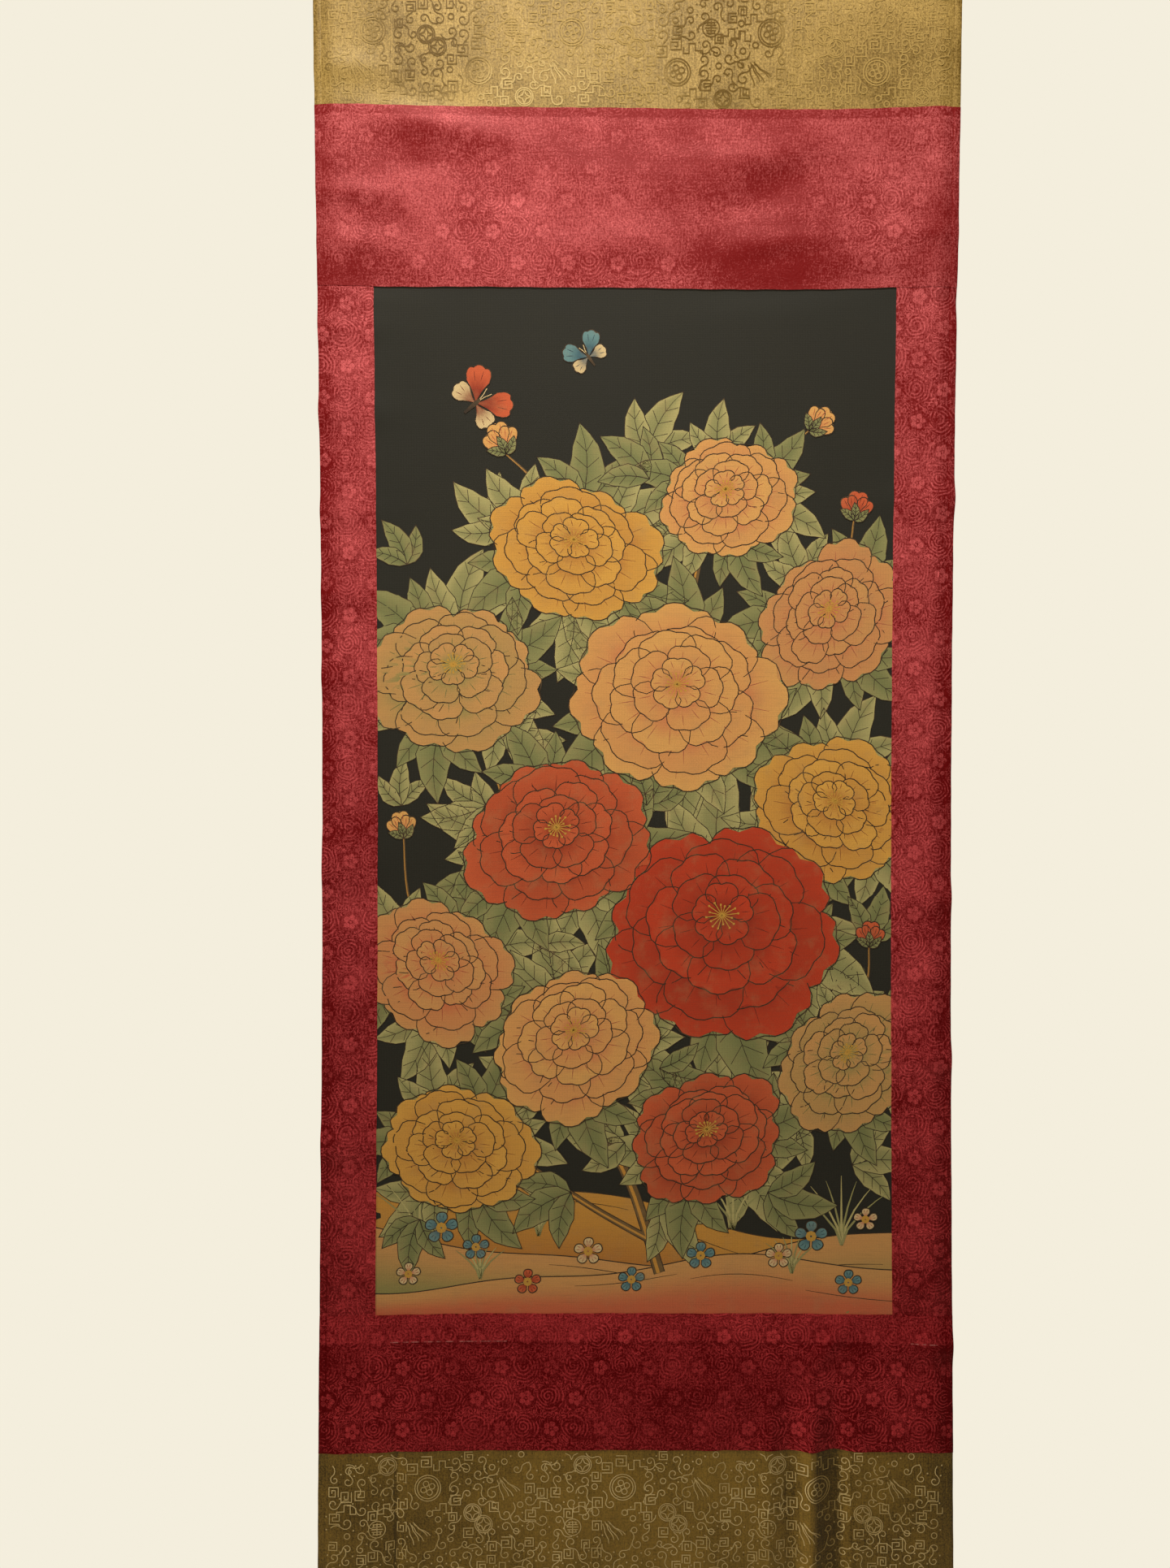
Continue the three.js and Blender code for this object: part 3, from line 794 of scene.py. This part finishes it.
def repeatFigures():
    # places every figure of one repeat, the larger ones first and the others on a jittered grid
    chance = random.Random(chart["seed"])
    figures, dots = [], []
    for x, z, kind in chart["large"]:
        if kind == "coins":
            drawCoin(figures, x - 5.0, z + 5.2, 8.0)
            drawCoin(figures, x + 5.2, z - 5.4, 8.0)
        elif kind == "round":
            drawRound(figures, x, z)
        elif kind == "barred":
            drawBarred(figures, x, z, 7.6)
        else:
            drawTassel(figures, x - 8, z + 8, -0.9)
    cellWide, cellTall = chart["wide"] / chart["columns"], chart["tall"] / chart["rows"]
    for cell in range(chart["columns"] * chart["rows"]):
        column, row = divmod(cell, chart["rows"])
        x = (column + 0.5) * cellWide + chance.uniform(-2.2, 2.2)
        z = (row + 0.5 + (column % 2) * 0.35) * cellTall + chance.uniform(-2.0, 2.0)
        kind, hand, quarter = chance.random(), chance.choice((-1, 1)), chance.randrange(4)
        if any(math.dist((x, z), (a, b)) < chart["keep"][large] for a, b, large in chart["large"]):
            continue
        if kind < 0.2:
            figures.append(keyPoints(x, z, chance.uniform(7.0, 9.5), quarter, hand))
        elif kind < 0.8:
            start, radius, turns = chance.uniform(0, 6.28), chance.uniform(3.8, 5.8), 1.05
            curl = curlPoints((x, z), radius, start, turns, hand)
            leave = start + hand * turns * 2 * math.pi + hand * math.pi / 2
            tail = [reachFrom(curl[-1], 2.4 * step, leave - hand * 0.24 * step) for step in (1, 2, 3, 4)]
            figures.append(curl + tail)
        elif kind < 0.9:
            step = 5.6 * hand
            figures.append([(x + step * a, z + b) for a, b in (
                (-1.6, -7), (-1.6, -2), (-0.4, -2), (-0.4, 4), (0.6, 4), (0.6, -4.5), (1.5, -4.5), (1.5, 1))])
        else:
            figures.append(circlePoints((x, z), 2.6, 10))
        if kind > 0.35:
            dots.append((x + cellWide * 0.48, z + cellTall * 0.42))
    return figures, dots


def drawBrocade(name, top, bottom, offsetX, offsetZ, line):
    figures, dots = repeatFigures()
    sheet = Sheet(underDepth)
    firstX = (math.floor((leftEdge - offsetX) / chart["wide"]) - 1) * chart["wide"] + offsetX
    firstZ = (math.floor((bottom - offsetZ) / chart["tall"]) - 1) * chart["tall"] + offsetZ

    def inside(points, margin):
        side = rightEdge - chart["sideMargin"]
        return all(-side < x < side and bottom + margin < z < top - margin for x, z in points)

    for repeat in range(chart["repeats"] ** 2):
        column, row = divmod(repeat, chart["repeats"])
        baseX, baseZ = firstX + column * chart["wide"], firstZ + row * chart["tall"]
        for figure in figures:
            points = [(baseX + x, baseZ + z) for x, z in figure]
            if inside(points, chart["lineMargin"]):
                sheet.ribbon(points, line, gold["figure"], 0)
        for x, z in dots:
            if inside([(baseX + x, baseZ + z)], chart["dotMargin"]):
                sheet.dot((baseX + x, baseZ + z), chart["dot"], gold["figure"], 0)
    sheet.gather()
    return sheet.close(name, goldFigure, "gold_brocade")


print("gold figures")
topFigures = drawBrocade("top_gold_figures", 0.0, goldTopSeam, -30.0, goldTopSeam - 26.0, chart["line"])
bottomFigures = drawBrocade("bottom_gold_figures", goldBottomSeam, bottomEdge, -78.0, goldBottomSeam - 92.0,
                            chart["footLine"])

# The picture: flowering peonies on a bank, with two butterflies, all in mineral colours
tints = {
    "tan": "ab7a44", "tanLight": "b78647", "pink": "a25238", "rose": "a5482f", "ochre": "a6742e",
    "ochreLight": "b58437", "ochreDeep": "8a4f22", "green": "636a3a", "sage": "7d7748", "sageDeep": "46502d",
    "sageLight": "998d58", "vermilion": "a03218", "vermilionDeep": "661a0c", "vermilionLight": "a84a28",
    "blue": "24404a", "blueLight": "54706c", "cream": "b39a6c", "ink": "2c2116", "stem": "5c4526",
    "gold": "a57a2e",
}
tintGain = 1.3  # the soft light takes this much from the paint
tints = {name: tuple(tintGain * value for value in rgb(code)) for name, code in tints.items()}
ink = {"line": 1.0, "vein": 0.7, "horn": 0.7, "stamen": 0.8}
washes, leafWashes, inkLines = Sheet(underDepth), Sheet(underDepth), Sheet(underDepth)


def onPicture(u, v):
    # u to the right and v down from the painting's top left corner
    return leftSeam + u, pictureTopSeam - v


def turned(x, z, turn, squash, tilt):
    # turns a point, then squashes it across a tilted line
    x, z = x * math.cos(turn) - z * math.sin(turn), x * math.sin(turn) + z * math.cos(turn)
    a, b = x * math.cos(tilt) + z * math.sin(tilt), (z * math.cos(tilt) - x * math.sin(tilt)) * squash
    return a * math.cos(tilt) - b * math.sin(tilt), a * math.sin(tilt) + b * math.cos(tilt)


def drawPetal(centre, turn, reach, spread, lobes, covered, base, wash, level, squash=1.0, tilt=0.0):
    # a fan of silk-thin colour with a scalloped rim, washed darker where the next ring covers it
    def shape(s, t):
        shoulder = 1 - 0.3 * abs(s) ** 3.2
        scallop = 0.075 * abs(math.sin(lobes * math.pi * (s + 1) / 2)) ** 0.6 - 0.05
        far = reach * (shoulder + scallop) * t
        fan = spread * s * (0.55 + 0.45 * t)
        x, z = turned(far * math.cos(fan), far * math.sin(fan), turn, squash, tilt)
        return centre[0] + x, centre[1] + z

    def colour(s, t):
        near = 1 - smoothStep(covered, covered + (1 - covered) * 0.75, t)
        side = 0.35 * abs(s) ** 3
        return blendOf(base, wash, min(1.0, 0.75 * near + side * (1 - t * 0.4)))

    washes.patch(9, 5, shape, colour, level)
    points = [shape(-1, 0.45), shape(-1, 0.7)] + [shape(-1 + 2 * place / 14, 1.0) for place in range(15)]
    inkLines.ribbon(points + [shape(1, 0.7), shape(1, 0.45)], ink["line"], tints["ink"], level + 0.5, 0.4)
    for s in (-0.3, 0.34):
        vein = [shape(s * (0.9 + 0.1 * t), t) for t in (0.62, 0.76, 0.9)]
        inkLines.ribbon(vein, ink["vein"], blendOf(wash, tints["ink"], 0.35), level + 0.5, 0.6)


# Blossoms: u, v, reach, turn, squash, tilt, base and wash colours, level
blossoms = [
    (322, 190, 66, 0.3, 0.84, 0.4, "tanLight", "pink", 1),
    (182, 238, 80, 1.1, 0.8, -0.3, "ochreLight", "ochreDeep", 1),
    (418, 300, 72, 0.7, 0.84, 0.9, "tan", "pink", 1),
    (70, 352, 80, 2.0, 0.86, 0.2, "tan", "green", 1),
    (278, 372, 94, 0.1, 0.9, 0.0, "tanLight", "pink", 8),
    (424, 476, 76, 1.9, 0.85, -0.5, "ochreLight", "ochreDeep", 1),
    (166, 502, 86, 0.5, 0.88, 0.3, "vermilionLight", "vermilionDeep", 8),
    (56, 622, 72, 0.9, 0.86, -0.6, "tan", "rose", 1),
    (320, 586, 108, 1.3, 0.92, 0.1, "vermilion", "vermilionDeep", 8),
    (182, 688, 82, 2.4, 0.85, 0.5, "tanLight", "pink", 15),
    (436, 706, 68, 0.2, 0.85, 0.8, "tan", "green", 1),
    (74, 788, 72, 1.6, 0.84, -0.2, "ochreLight", "ochreDeep", 8),
    (306, 778, 74, 0.8, 0.82, 0.4, "vermilionLight", "vermilionDeep", 8),
]
# Rings of a blossom: petals, share of the reach, half spread, lobes, share covered by the next ring
rings = [(8, 1.0, 0.56, 3, 0.6), (7, 0.82, 0.6, 3, 0.5), (7, 0.64, 0.6, 3, 0.42), (5, 0.46, 0.76, 3, 0.3),
         (5, 0.28, 0.76, 2, 0.15)]


def drawBlossom(u, v, reach, turn, squash, tilt, baseName, washName, level):
    chance = random.Random(u * 7 + v)
    x, z = onPicture(u, v)
    base, wash = tints[baseName], tints[washName]
    for ring, (petals, share, spread, lobes, covered) in enumerate(rings):
        centre = (x, z + reach * 0.035 * ring)  # the heart sits a little high, so the blossom faces up
        for petal in range(petals):
            at = turn + ring * 0.37 + 2 * math.pi * petal / petals + chance.uniform(-0.1, 0.1)
            size = reach * share * chance.uniform(0.9, 1.08)
            tone = blendOf(base, wash, 0.12 * (ring % 2) + chance.uniform(0.0, 0.16))
            height = level + ring + (0.45 if petal % 2 else 0.0)
            drawPetal(centre, at, size, spread * chance.uniform(0.92, 1.1), lobes, covered, tone, wash,
                      height, squash, tilt)
    heart = (x, z + reach * 0.14)
    for stamen in range(16):
        far = reach * chance.uniform(0.08, 0.15)
        tipX, tipZ = turned(*reachFrom((0, 0), far, turn + 2 * math.pi * stamen / 16), 0.0, squash, tilt)
        tip = (heart[0] + tipX, heart[1] + tipZ)
        inkLines.ribbon([heart, tip], ink["stamen"], tints["gold"], level + 5.6)
        inkLines.dot(tip, 0.9, tints["gold"], level + 5.8)


def drawLeaf(start, turn, length, wide, bend, base, wash, level):
    def middle(t):
        return reachFrom(start, length * t, turn + bend * (t - 0.5))

    def shape(s, t):
        half = wide / 2 * math.sin(math.pi * min(t, 1.0) ** 0.82) ** 0.9 * (1 + 0.05 * math.sin(t * 19))
        return reachFrom(middle(t), s * half, turn + bend * (t - 0.2) + math.pi / 2)

    def colour(s, t):
        depth = 1 - smoothStep(0.0, 0.85, abs(s))
        return blendOf(base, wash, min(1.0, depth * (0.95 if s > 0 else 0.45) + 0.25 * (1 - t)))

    leafWashes.patch(4, 8, shape, colour, level)
    edge = [shape(-1, t / 7) for t in range(8)] + [shape(1, 1 - t / 7) for t in range(1, 8)]
    inkLines.ribbon(edge, ink["vein"], tints["ink"], level + 0.3)
    inkLines.ribbon([middle(t / 5) for t in range(6)], ink["line"], tints["ink"], level + 0.3, -0.7)
    for t in (0.25, 0.45, 0.65):
        for side in (-1, 1):
            vein = [shape(side * reach * 0.8, t + 0.13 * reach) for reach in (0.0, 1.0)]
            inkLines.ribbon(vein, ink["vein"] * 0.8, tints["ink"], level + 0.3)


# Sprays of leaves between the blossoms: u, v, heading in degrees, leaflet length, tone
sprays = [
    (250, 150, 70, 66, 0), (252, 172, 130, 60, 1), (120, 216, 150, 64, 0), (350, 452, -30, 60, 0),
    (100, 470, 200, 62, 0), (112, 548, 170, 64, 1), (250, 470, 60, 56, 1), (244, 590, -80, 60, 1),
    (150, 600, -30, 54, 0), (390, 590, -10, 56, 1), (262, 712, -20, 54, 1), (386, 760, 250, 60, 0),
    (180, 826, 205, 66, 1), (262, 840, -50, 64, 0), (362, 826, -20, 66, 1), (40, 850, 250, 54, 1),
    (230, 640, 30, 50, 0), (22, 470, 95, 44, 0), (452, 590, 60, 50, 1), (236, 216, 200, 46, 1),
    (440, 800, 10, 60, 0), (130, 740, 60, 56, 0), (230, 780, 180, 60, 0), (28, 250, 110, 46, 1),
    (120, 420, 20, 56, 0),
]
# Round each blossom: heading in degrees from its heart, leaflet length as a share of its reach
collar = [(18, 0.92), (80, 0.84), (142, 0.92), (206, 0.96), (268, 0.9), (328, 0.96)]


def drawSpray(u, v, heading, length, tone):
    base = tints["sage" if tone else "sageLight"]
    turn = math.radians(heading)
    for leaflet, (lean, share) in enumerate(((-0.75, 0.8), (0.0, 1.0), (0.75, 0.8))):
        drawLeaf(onPicture(u, v), turn + lean, length * share, length * 0.44 * share,
                 0.35 * (1 if tone else -1), base, tints["sageDeep"], -4 + leaflet * 0.6 + tone * 2)


# Stems: width at the foot, and points up the picture
stems = [
    (9.0, (262, 900), (240, 830), (214, 760), (236, 690), (262, 620), (236, 540), (222, 450), (252, 380),
     (286, 300), (300, 240), (318, 196)),
    (6.0, (254, 870), (200, 840), (140, 800), (104, 768)),
    (5.0, (236, 690), (170, 640), (110, 640), (76, 618)),
    (5.0, (258, 628), (320, 640), (390, 680), (420, 700)),
    (5.0, (236, 540), (180, 540), (120, 470), (92, 372)),
    (5.0, (224, 460), (300, 470), (360, 490), (400, 478)), (4.5, (252, 380), (210, 320), (186, 246)),
    (4.0, (284, 306), (340, 330), (396, 318)), (3.0, (60, 618), (30, 560), (24, 500)),
    (3.0, (186, 246), (150, 180), (120, 150)), (3.0, (396, 318), (432, 250), (440, 210)),
    (3.0, (420, 700), (452, 640), (456, 600)), (3.0, (318, 196), (372, 150), (398, 128)),
]


def smoothLine(points, steps=6):
    # a smooth line through the points
    ends = [points[0], *points, points[-1]]
    line = []
    for quad in zip(ends, ends[1:], ends[2:], ends[3:]):
        for step in range(steps):
            t = step / steps
            line.append(tuple(0.5 * (2 * b + (c - a) * t + (2 * a - 5 * b + 4 * c - d) * t * t
                                     + (3 * b - a - 3 * c + d) * t ** 3) for a, b, c, d in zip(*quad)))
    return line + [points[-1]]


def drawStem(wide, *points):
    line = [onPicture(u, v) for u, v in smoothLine(points)]
    leafWashes.ribbon(line, wide + 1.8, tints["ink"], -6, -0.55)
    leafWashes.ribbon(line, wide, tints["stem"], -5.4, -0.55)
    leafWashes.ribbon([(x - wide * 0.12, z) for x, z in line], wide * 0.35, tints["ochre"], -5.2, -0.6)


# Buds: u, v, size, heading in degrees, base and wash colours
buds = [
    (120, 150, 30, 110, "tanLight", "rose"), (440, 210, 27, 80, "vermilionLight", "vermilionDeep"),
    (24, 500, 25, 100, "tanLight", "rose"), (456, 600, 24, 85, "vermilionLight", "vermilionDeep"),
    (398, 128, 27, 40, "tanLight", "rose"),
]


def drawBud(u, v, size, heading, base, wash, level=2):
    centre = onPicture(u, v)
    turn = math.radians(heading)
    for lean, share in ((-0.45, 0.85), (0.45, 0.85), (0.0, 1.0)):
        drawPetal(centre, turn + lean, size * share, 0.5, 2, 0.2, tints[base], tints[wash], level + share)
    for lean in (-0.9, 0.9, 0.0):
        drawLeaf(centre, turn + lean, size * 0.62, size * 0.3, 0.3, tints["sage"], tints["sageDeep"],
                 level + 2.4)


# Swells of the earth bank, each in front of the one before: v, rise, phase, base and wash colours, level
swells = [(842, 26, 0.6, "ochre", "ochreDeep", -12), (872, 20, 2.4, "tan", "green", -10),
          (900, 14, 4.4, "tan", "rose", -8)]
bankPast = 4.0  # it runs this far past the painting and is trimmed


def drawSwell(top, rise, phase, base, wash, level):
    wide = rightSeam - leftSeam

    def crest(s):
        return top - rise * math.sin((s + 1) * 2.3 + phase) - 4 * math.sin((s + 1) * 7 + phase)

    def shape(s, t):
        v = crest(s) + (scroll["painting"] + bankPast - crest(s)) * (1 - t)
        return onPicture((s + 1) / 2 * (wide + 2 * bankPast) - bankPast, v)

    def colour(s, t):
        return blendOf(tints[base], tints[wash], smoothStep(0.9, 0.2, t) * 0.85)

    leafWashes.patch(60, 8, shape, colour, level)
    rim = [shape(-1 + place / 30, 1.0) for place in range(61)]
    inkLines.ribbon(rim, ink["line"], tints["ink"], level + 0.5)
    for line in range(1, 4):
        start = -0.9 + line * 0.45 + phase * 0.05
        points = [onPicture(1 + (s + 1) / 2 * (wide - 2), crest(s) + 9 * line + 14 * (s - start) ** 2)
                  for s in [start + 0.05 * place for place in range(9)]]
        points = [(x, max(z, pictureBottomSeam + 2)) for x, z in points]
        inkLines.ribbon(points, ink["vein"], tints["ink"], level + 0.5, 0.5)


# Tufts of grass: u, v, height
tufts = [(40, 872, 60), (150, 866, 44), (330, 860, 52), (430, 874, 64), (384, 900, 36), (96, 905, 34)]


def drawGrass(u, v, tall):
    for blade in range(7):
        lean, high = (blade - 3) * 0.22, tall * (1 - 0.08 * abs(blade - 3))
        points = [onPicture(u + tall * lean * (t ** 1.7), v - high * t) for t in (0, 0.3, 0.6, 0.85, 1)]
        leafWashes.ribbon(points, 2.6, tints["sageLight" if blade % 2 else "sage"], -3, -0.85)


# Small flowers on the bank: u, v, size, base and wash colours
smallFlowers = [
    (60, 858, 15, "blueLight", "blue"), (92, 876, 12, "blueLight", "blue"),
    (402, 866, 15, "blueLight", "blue"),
    (372, 884, 12, "cream", "pink"), (300, 884, 13, "blueLight", "blue"), (196, 880, 13, "cream", "pink"),
    (452, 850, 11, "cream", "pink"), (30, 900, 11, "cream", "pink"), (236, 906, 12, "blueLight", "blue"),
    (436, 908, 12, "blueLight", "blue"), (140, 908, 12, "vermilionLight", "vermilionDeep"),
]


def drawSmallFlower(u, v, size, base, wash):
    centre = onPicture(u, v)
    for petal in range(5):
        turn = 2 * math.pi * petal / 5 + 0.3
        level = 0.4 if petal % 2 else 0
        drawPetal(centre, turn, size, 0.52, 1, 0.25, tints[base], tints[wash], level, 0.92, 0.3)
    inkLines.ribbon(circlePoints(centre, size * 0.2, 8), size * 0.25, tints["gold"], 1.2)


def drawButterfly(u, v, size, turn, base, wash):
    centre = onPicture(u, v)
    for side in (1, -1):
        drawPetal(centre, turn + side * 0.75, size, 0.5, 3, 0.35, tints[base], tints[wash], 1)
        drawPetal(centre, turn + side * 1.75, size * 0.72, 0.55, 3, 0.3, tints["cream"], tints[wash], 0)
        horn = [reachFrom(centre, size * 0.5 * t, turn + side * 0.2 * t) for t in (0.2, 0.6, 1.0)]
        inkLines.ribbon(horn, ink["horn"], tints["cream"], 3)
    body = [reachFrom(centre, size * -0.4, turn), centre, reachFrom(centre, size * 0.22, turn)]
    inkLines.ribbon(body, size * 0.13, tints["ink"], 3, 0.5)


print("picture")
for swell in swells:
    drawSwell(*swell)
for stem in stems:
    drawStem(*stem)
for u, v, reach, turn, squash, tilt, baseName, washName, level in blossoms:
    for place, (heading, share) in enumerate(collar):
        heading += math.degrees(turn)
        startU, startV = reachFrom((u, v), reach * 0.55, -math.radians(heading))
        drawSpray(startU, startV, heading, reach * share, (place + level) % 2)
for rows, draw in ((sprays, drawSpray), (blossoms, drawBlossom), (buds, drawBud), (tufts, drawGrass),
                   (smallFlowers, drawSmallFlower)):
    for row in rows:
        draw(*row)
drawButterfly(92, 104, 34, 0.7, "vermilionLight", "vermilionDeep")
drawButterfly(196, 62, 24, 2.2, "blueLight", "blue")

trimPast = 2.0  # the paint goes this far under the crimson
pictureSheets = {"painted_leaves": leafWashes, "painted_blossoms": washes, "painted_lines": inkLines}
for name, sheet in pictureSheets.items():
    sheet.gather()
    sheet.trim(leftSeam - trimPast, rightSeam + trimPast,
               pictureBottomSeam - trimPast, pictureTopSeam + trimPast)
    piece = sheet.close(name, silkColours, "painted_silk")
    print(name, len(piece.data.polygons), "faces")
# Plain pale floor, soft light from above and in front, and the camera at the photograph's place
studio = {
    "floorZ": -1.95, "floorWide": 2.6, "floorFront": -1.6, "floorBack": 0.38,
    "camera": (-0.0468, -1.0626, -0.8971), "pitch": 1.1726, "roll": -0.021, "lens": 27.05, "sensor": 36.0,
    "glow": "f4eedd", "frontGlow": 0.09, "backGlow": 1.0, "lightColour": (1.0, 0.97, 0.92),
    # place, aim, width, height, watts, whether it shows in the gloss
    "lights": {"front": ((-0.1, -0.8, -0.62), (0, 0, -0.62), 0.5, 0.3, 4.7, False),
               "high": ((-0.1, -0.52, 0.4), (0, 0, -0.5), 0.4, 0.2, 12.8, True),
               "side": ((-2.7, -0.9, -1.3), (0, 0, -1.4), 0.5, 0.5, 27.0, False)},
}
floorMesh = bmesh.new()
bmesh.ops.create_grid(floorMesh, x_segments=1, y_segments=1, size=0.5)
floorDeep = studio["floorBack"] - studio["floorFront"]
floorMiddle = (0, studio["floorFront"] + floorDeep / 2, studio["floorZ"])
bmesh.ops.scale(floorMesh, vec=(studio["floorWide"], floorDeep, 1), verts=floorMesh.verts)
bmesh.ops.translate(floorMesh, vec=floorMiddle, verts=floorMesh.verts)
floorNet = Net("pale floor")
floorNoise = floorNet.node("TexNoise", {}, {"Scale": 30.0})
floorNet.finish(floorNet.mixed(floorNoise * 0.1, rgb("d9d6cc"), rgb("cfcbbf")), 0.8)
floor = toObject(floorMesh, "floor", [floorNet.material])

# The glow is faint in front of the scroll and full behind it
world = bpy.data.worlds.new("studio")
world.use_nodes = True
backdrop = world.node_tree.nodes["Background"]
direction = world.node_tree.nodes.new("ShaderNodeTexCoord")
axes = world.node_tree.nodes.new("ShaderNodeSeparateXYZ")
fade = world.node_tree.nodes.new("ShaderNodeMapRange")
fade.interpolation_type = "SMOOTHSTEP"
for place, value in {1: 0.0, 2: 0.5, 3: studio["frontGlow"], 4: studio["backGlow"]}.items():
    fade.inputs[place].default_value = value
world.node_tree.links.new(direction.outputs["Generated"], axes.inputs[0])
world.node_tree.links.new(axes.outputs["Y"], fade.inputs[0])
world.node_tree.links.new(fade.outputs[0], backdrop.inputs[1])
backdrop.inputs[0].default_value = (*rgb(studio["glow"]), 1.0)
bpy.context.scene.world = world

for name, (place, aim, wide, tall, watts, shines) in studio["lights"].items():
    data = bpy.data.lights.new(name, "AREA")
    data.shape, data.size, data.size_y, data.energy = "RECTANGLE", wide, tall, watts
    data.color = studio["lightColour"]
    light = bpy.data.objects.new(name, data)
    light.location = place
    light.visible_glossy = shines
    light.rotation_euler = (Vector(aim) - Vector(place)).to_track_quat("-Z", "Y").to_euler()
    bpy.context.scene.collection.objects.link(light)

camera = bpy.data.objects.new("camera", bpy.data.cameras.new("camera"))
camera.data.lens = studio["lens"]
camera.data.sensor_width = studio["sensor"]
camera.location = studio["camera"]
camera.rotation_euler = (math.radians(90 - studio["pitch"]), math.radians(studio["roll"]), 0)
bpy.context.scene.collection.objects.link(camera)
bpy.context.scene.camera = camera
bpy.context.scene.view_settings.view_transform = "Standard"

print("done")
